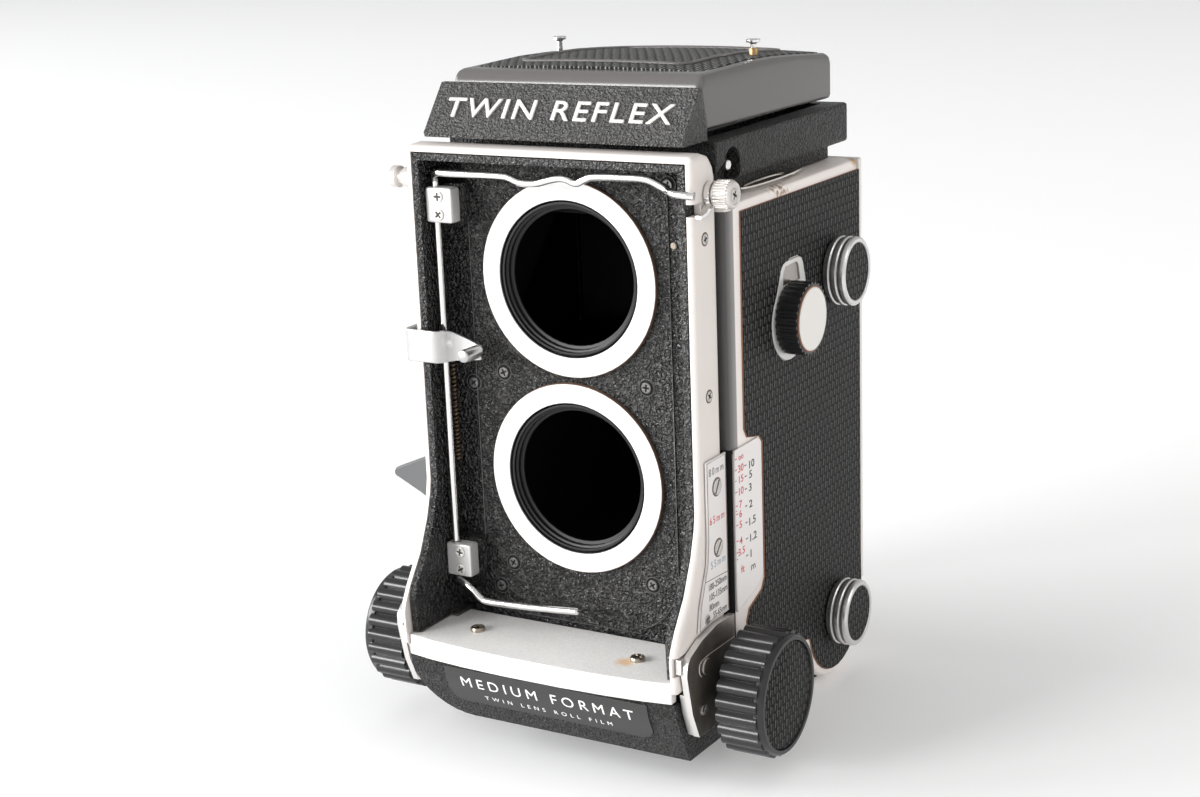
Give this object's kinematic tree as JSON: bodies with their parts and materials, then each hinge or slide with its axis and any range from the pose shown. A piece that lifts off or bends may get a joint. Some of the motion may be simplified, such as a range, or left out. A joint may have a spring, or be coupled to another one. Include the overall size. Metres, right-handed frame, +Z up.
{
  "type": "twin lens reflex camera",
  "caption": "Medium format twin lens reflex camera body without its lens board: racked focusing front, lens bail, folded viewing hood, film door, winder and knobs.",
  "frame": {"origin": "on the underside of the tripod plate, in the middle of the camera's depth and width", "axes": "+Z up, -Y towards the lens side, +X to the right when looking at the lens side"},
  "size_m": [0.1182, 0.1095, 0.1723],
  "materials": {
    "back_door": "satin off-white enamel on a casting",
    "bail_bracket_low": "satin",
    "bail_bracket_top": "satin",
    "bail_catch": "bright",
    "bellows": "black pleated cloth",
    "body_casting": "satin off-white enamel on a casting",
    "counter_window": "satin",
    "distance_scale_plate": "satin",
    "door_hinge_pin": "satin",
    "door_latch": "satin",
    "focal_length_plate": "satin",
    "focusing_bed": "black crinkle enamel on a casting",
    "focusing_knob_left": "black anodised",
    "focusing_knob_right": "black anodised",
    "focusing_screen": "ground",
    "focusing_shaft": "satin",
    "foot_left": "black",
    "foot_right": "black",
    "front_casting": "satin off-white enamel on a casting",
    "front_panel": "black crinkle enamel on a casting",
    "front_shelf": "satin off-white enamel on a casting",
    "hood_base": "black crinkle enamel on a casting",
    "hood_flap_back": "semi-gloss black enamel",
    "hood_flap_left": "semi-gloss black enamel",
    "hood_flap_right": "semi-gloss black enamel",
    "hood_leaf": "bright",
    "hood_lid": "semi-gloss black enamel",
    "lens_bail": "bright",
    "lens_change_knob": "black anodised",
    "lens_change_plate": "satin",
    "lid_post_left": "bright",
    "lid_post_right": "bright",
    "light_baffle": "matt black",
    "magnifier_frame": "semi-gloss black enamel",
    "magnifier_lens": "clear",
    "mount_ring_take": "satin white anodised",
    "mount_ring_view": "satin white anodised",
    "nameplate_block": "black crinkle enamel on a casting",
    "pressure_plate": "matt black",
    "rack_left": "satin",
    "rack_right": "satin",
    "rail_plate_left": "dark blued",
    "rail_plate_right": "dark blued",
    "reflex_mirror": "front silvered",
    "release_coupling": "bright",
    "release_lever": "satin",
    "return_spring": "dull",
    "side_leatherette_left": "embossed black leatherette",
    "side_leatherette_right": "embossed black leatherette",
    "spool_knob_low": "bright",
    "spool_knob_top": "bright",
    "stud_left": "off-white enamel, knurled",
    "stud_right": "off-white enamel, knurled",
    "take_up_spool": "black",
    "throat_take": "matt black",
    "throat_view": "matt black",
    "tripod_plate": "satin",
    "wind_crank": "satin",
    "wind_knob": "black anodised"
  },
  "bodies": {
    "camera_body": {"body_casting": "body_casting", "side_leatherette_left": "side_leatherette_left", "side_leatherette_right": "side_leatherette_right", "lens_change_plate": "lens_change_plate", "distance_scale_plate": "distance_scale_plate", "focusing_bed": "focusing_bed", "rail_plate_left": "rail_plate_left", "rail_plate_right": "rail_plate_right", "tripod_plate": "tripod_plate", "foot_left": "foot_left", "foot_right": "foot_right", "reflex_mirror": "reflex_mirror", "focusing_screen": "focusing_screen", "counter_window": "counter_window", "door_hinge_pin": "door_hinge_pin", "hood_base": "hood_base", "nameplate_block": "nameplate_block", "hood_leaf": "hood_leaf", "bellows": "bellows"},
    "front_standard": {"front_casting": "front_casting", "front_panel": "front_panel", "mount_ring_view": "mount_ring_view", "mount_ring_take": "mount_ring_take", "throat_view": "throat_view", "throat_take": "throat_take", "front_shelf": "front_shelf", "bail_bracket_top": "bail_bracket_top", "bail_bracket_low": "bail_bracket_low", "focal_length_plate": "focal_length_plate", "stud_left": "stud_left", "stud_right": "stud_right", "rack_left": "rack_left", "rack_right": "rack_right", "return_spring": "return_spring"},
    "focus_drive": {"focusing_shaft": "focusing_shaft", "focusing_knob_left": "focusing_knob_left", "focusing_knob_right": "focusing_knob_right"},
    "bail": {"lens_bail": "lens_bail"},
    "catch": {"bail_catch": "bail_catch"},
    "release_tab": {"release_coupling": "release_coupling"},
    "shutter_lever": {"release_lever": "release_lever"},
    "change_knob": {"lens_change_knob": "lens_change_knob"},
    "baffle": {"light_baffle": "light_baffle"},
    "upper_spool_knob": {"spool_knob_top": "spool_knob_top"},
    "lower_spool_knob": {"spool_knob_low": "spool_knob_low"},
    "winder": {"wind_knob": "wind_knob", "take_up_spool": "take_up_spool"},
    "crank": {"wind_crank": "wind_crank"},
    "door": {"back_door": "back_door", "pressure_plate": "pressure_plate"},
    "latch": {"door_latch": "door_latch"},
    "lid": {"hood_lid": "hood_lid", "lid_post_left": "lid_post_left", "lid_post_right": "lid_post_right"},
    "right_flap": {"hood_flap_right": "hood_flap_right"},
    "left_flap": {"hood_flap_left": "hood_flap_left"},
    "back_flap": {"hood_flap_back": "hood_flap_back"},
    "magnifier": {"magnifier_frame": "magnifier_frame", "magnifier_lens": "magnifier_lens"}
  },
  "joints": [
    {"name": "focus_slide", "type": "slide", "parent": "camera_body", "child": "front_standard", "axis": [0, -1, 0], "range_m": [0, 0.055], "deforming": ["bellows"]},
    {"name": "focus_knob_turn", "type": "hinge", "parent": "camera_body", "child": "focus_drive", "pos_m": [0, -0.0293, 0.02265], "axis": [1, 0, 0], "range_deg": [0, 631]},
    {"name": "bail_swing", "type": "hinge", "parent": "front_standard", "child": "bail", "pos_m": [-0.0333, -0.0339, 0.0912], "axis": [0, 0, -1], "range_deg": [0, 64]},
    {"name": "catch_turn", "type": "hinge", "parent": "front_standard", "child": "catch", "pos_m": [0.0404, -0.0303, 0.1423], "axis": [1, 0, 0], "range_deg": [0, 30]},
    {"name": "release_press", "type": "slide", "parent": "front_standard", "child": "release_tab", "axis": [0, 0, -1], "range_m": [0, 0.004], "stiffness_N_per_m": 200, "springref_m": -0.002},
    {"name": "shutter_lever_press", "type": "hinge", "parent": "camera_body", "child": "shutter_lever", "pos_m": [-0.0394, -0.0203, 0.0618], "axis": [0, -1, 0], "range_deg": [0, 10], "stiffness_Nm_per_rad": 0.2, "springref_deg": -2.86},
    {"name": "lens_change_turn", "type": "hinge", "parent": "camera_body", "child": "change_knob", "pos_m": [0.045, 0.0071, 0.1058], "axis": [1, 0, 0], "range_deg": [0, 90]},
    {"name": "baffle_swing", "type": "hinge", "parent": "camera_body", "child": "baffle", "pos_m": [0, -0.0049, 0.0904], "axis": [-1, 0, 0], "range_deg": [0, 90]},
    {"name": "upper_spool_pull", "type": "slide", "parent": "camera_body", "child": "upper_spool_knob", "axis": [1, 0, 0], "range_m": [0, 0.008], "stiffness_N_per_m": 300, "springref_m": -0.002},
    {"name": "lower_spool_pull", "type": "slide", "parent": "camera_body", "child": "lower_spool_knob", "axis": [1, 0, 0], "range_m": [0, 0.008], "stiffness_N_per_m": 300, "springref_m": -0.002},
    {"name": "winder_turn", "type": "hinge", "parent": "camera_body", "child": "winder", "pos_m": [-0.045, 0.0341, 0.1124], "axis": [-1, 0, 0], "continuous": true},
    {"name": "crank_unfold", "type": "hinge", "parent": "winder", "child": "crank", "pos_m": [-0.0483, 0.0261, 0.1124], "axis": [0, 0, 1], "range_deg": [0, 180]},
    {"name": "door_open", "type": "hinge", "parent": "camera_body", "child": "door", "pos_m": [0, 0.0543, 0.0201], "axis": [-1, 0, 0], "range_deg": [0, 95]},
    {"name": "latch_slide", "type": "slide", "parent": "camera_body", "child": "latch", "axis": [0, -1, 0], "range_m": [0, 0.0025], "stiffness_N_per_m": 300, "springref_m": -0.002},
    {"name": "lid_open", "type": "hinge", "parent": "camera_body", "child": "lid", "pos_m": [0, -0.0194, 0.1644], "axis": [1, 0, 0], "range_deg": [0, 90]},
    {"name": "right_flap_open", "type": "hinge", "parent": "camera_body", "child": "right_flap", "pos_m": [0.031, 0.0159, 0.1541], "axis": [0, 1, 0], "range_deg": [0, 90]},
    {"name": "left_flap_open", "type": "hinge", "parent": "camera_body", "child": "left_flap", "pos_m": [-0.031, 0.0159, 0.1541], "axis": [0, -1, 0], "range_deg": [0, 90]},
    {"name": "back_flap_open", "type": "hinge", "parent": "camera_body", "child": "back_flap", "pos_m": [0, 0.0483, 0.1559], "axis": [-1, 0, 0], "range_deg": [0, 90]},
    {"name": "magnifier_swing", "type": "hinge", "parent": "lid", "child": "magnifier", "pos_m": [0, 0.0166, 0.1613], "axis": [-1, 0, 0], "range_deg": [0, 90]}
  ],
  "couplings": [
    {"joint": "focus_knob_turn", "follows": "focus_slide", "rad_per_m": 200},
    {"joint": "baffle_swing", "follows": "lens_change_turn", "ratio": 1},
    {"joint": "right_flap_open", "follows": "lid_open", "ratio": 1},
    {"joint": "left_flap_open", "follows": "lid_open", "ratio": 1},
    {"joint": "back_flap_open", "follows": "lid_open", "ratio": 1},
    {"joint": "magnifier_swing", "follows": "lid_open", "ratio": 1}
  ]
}
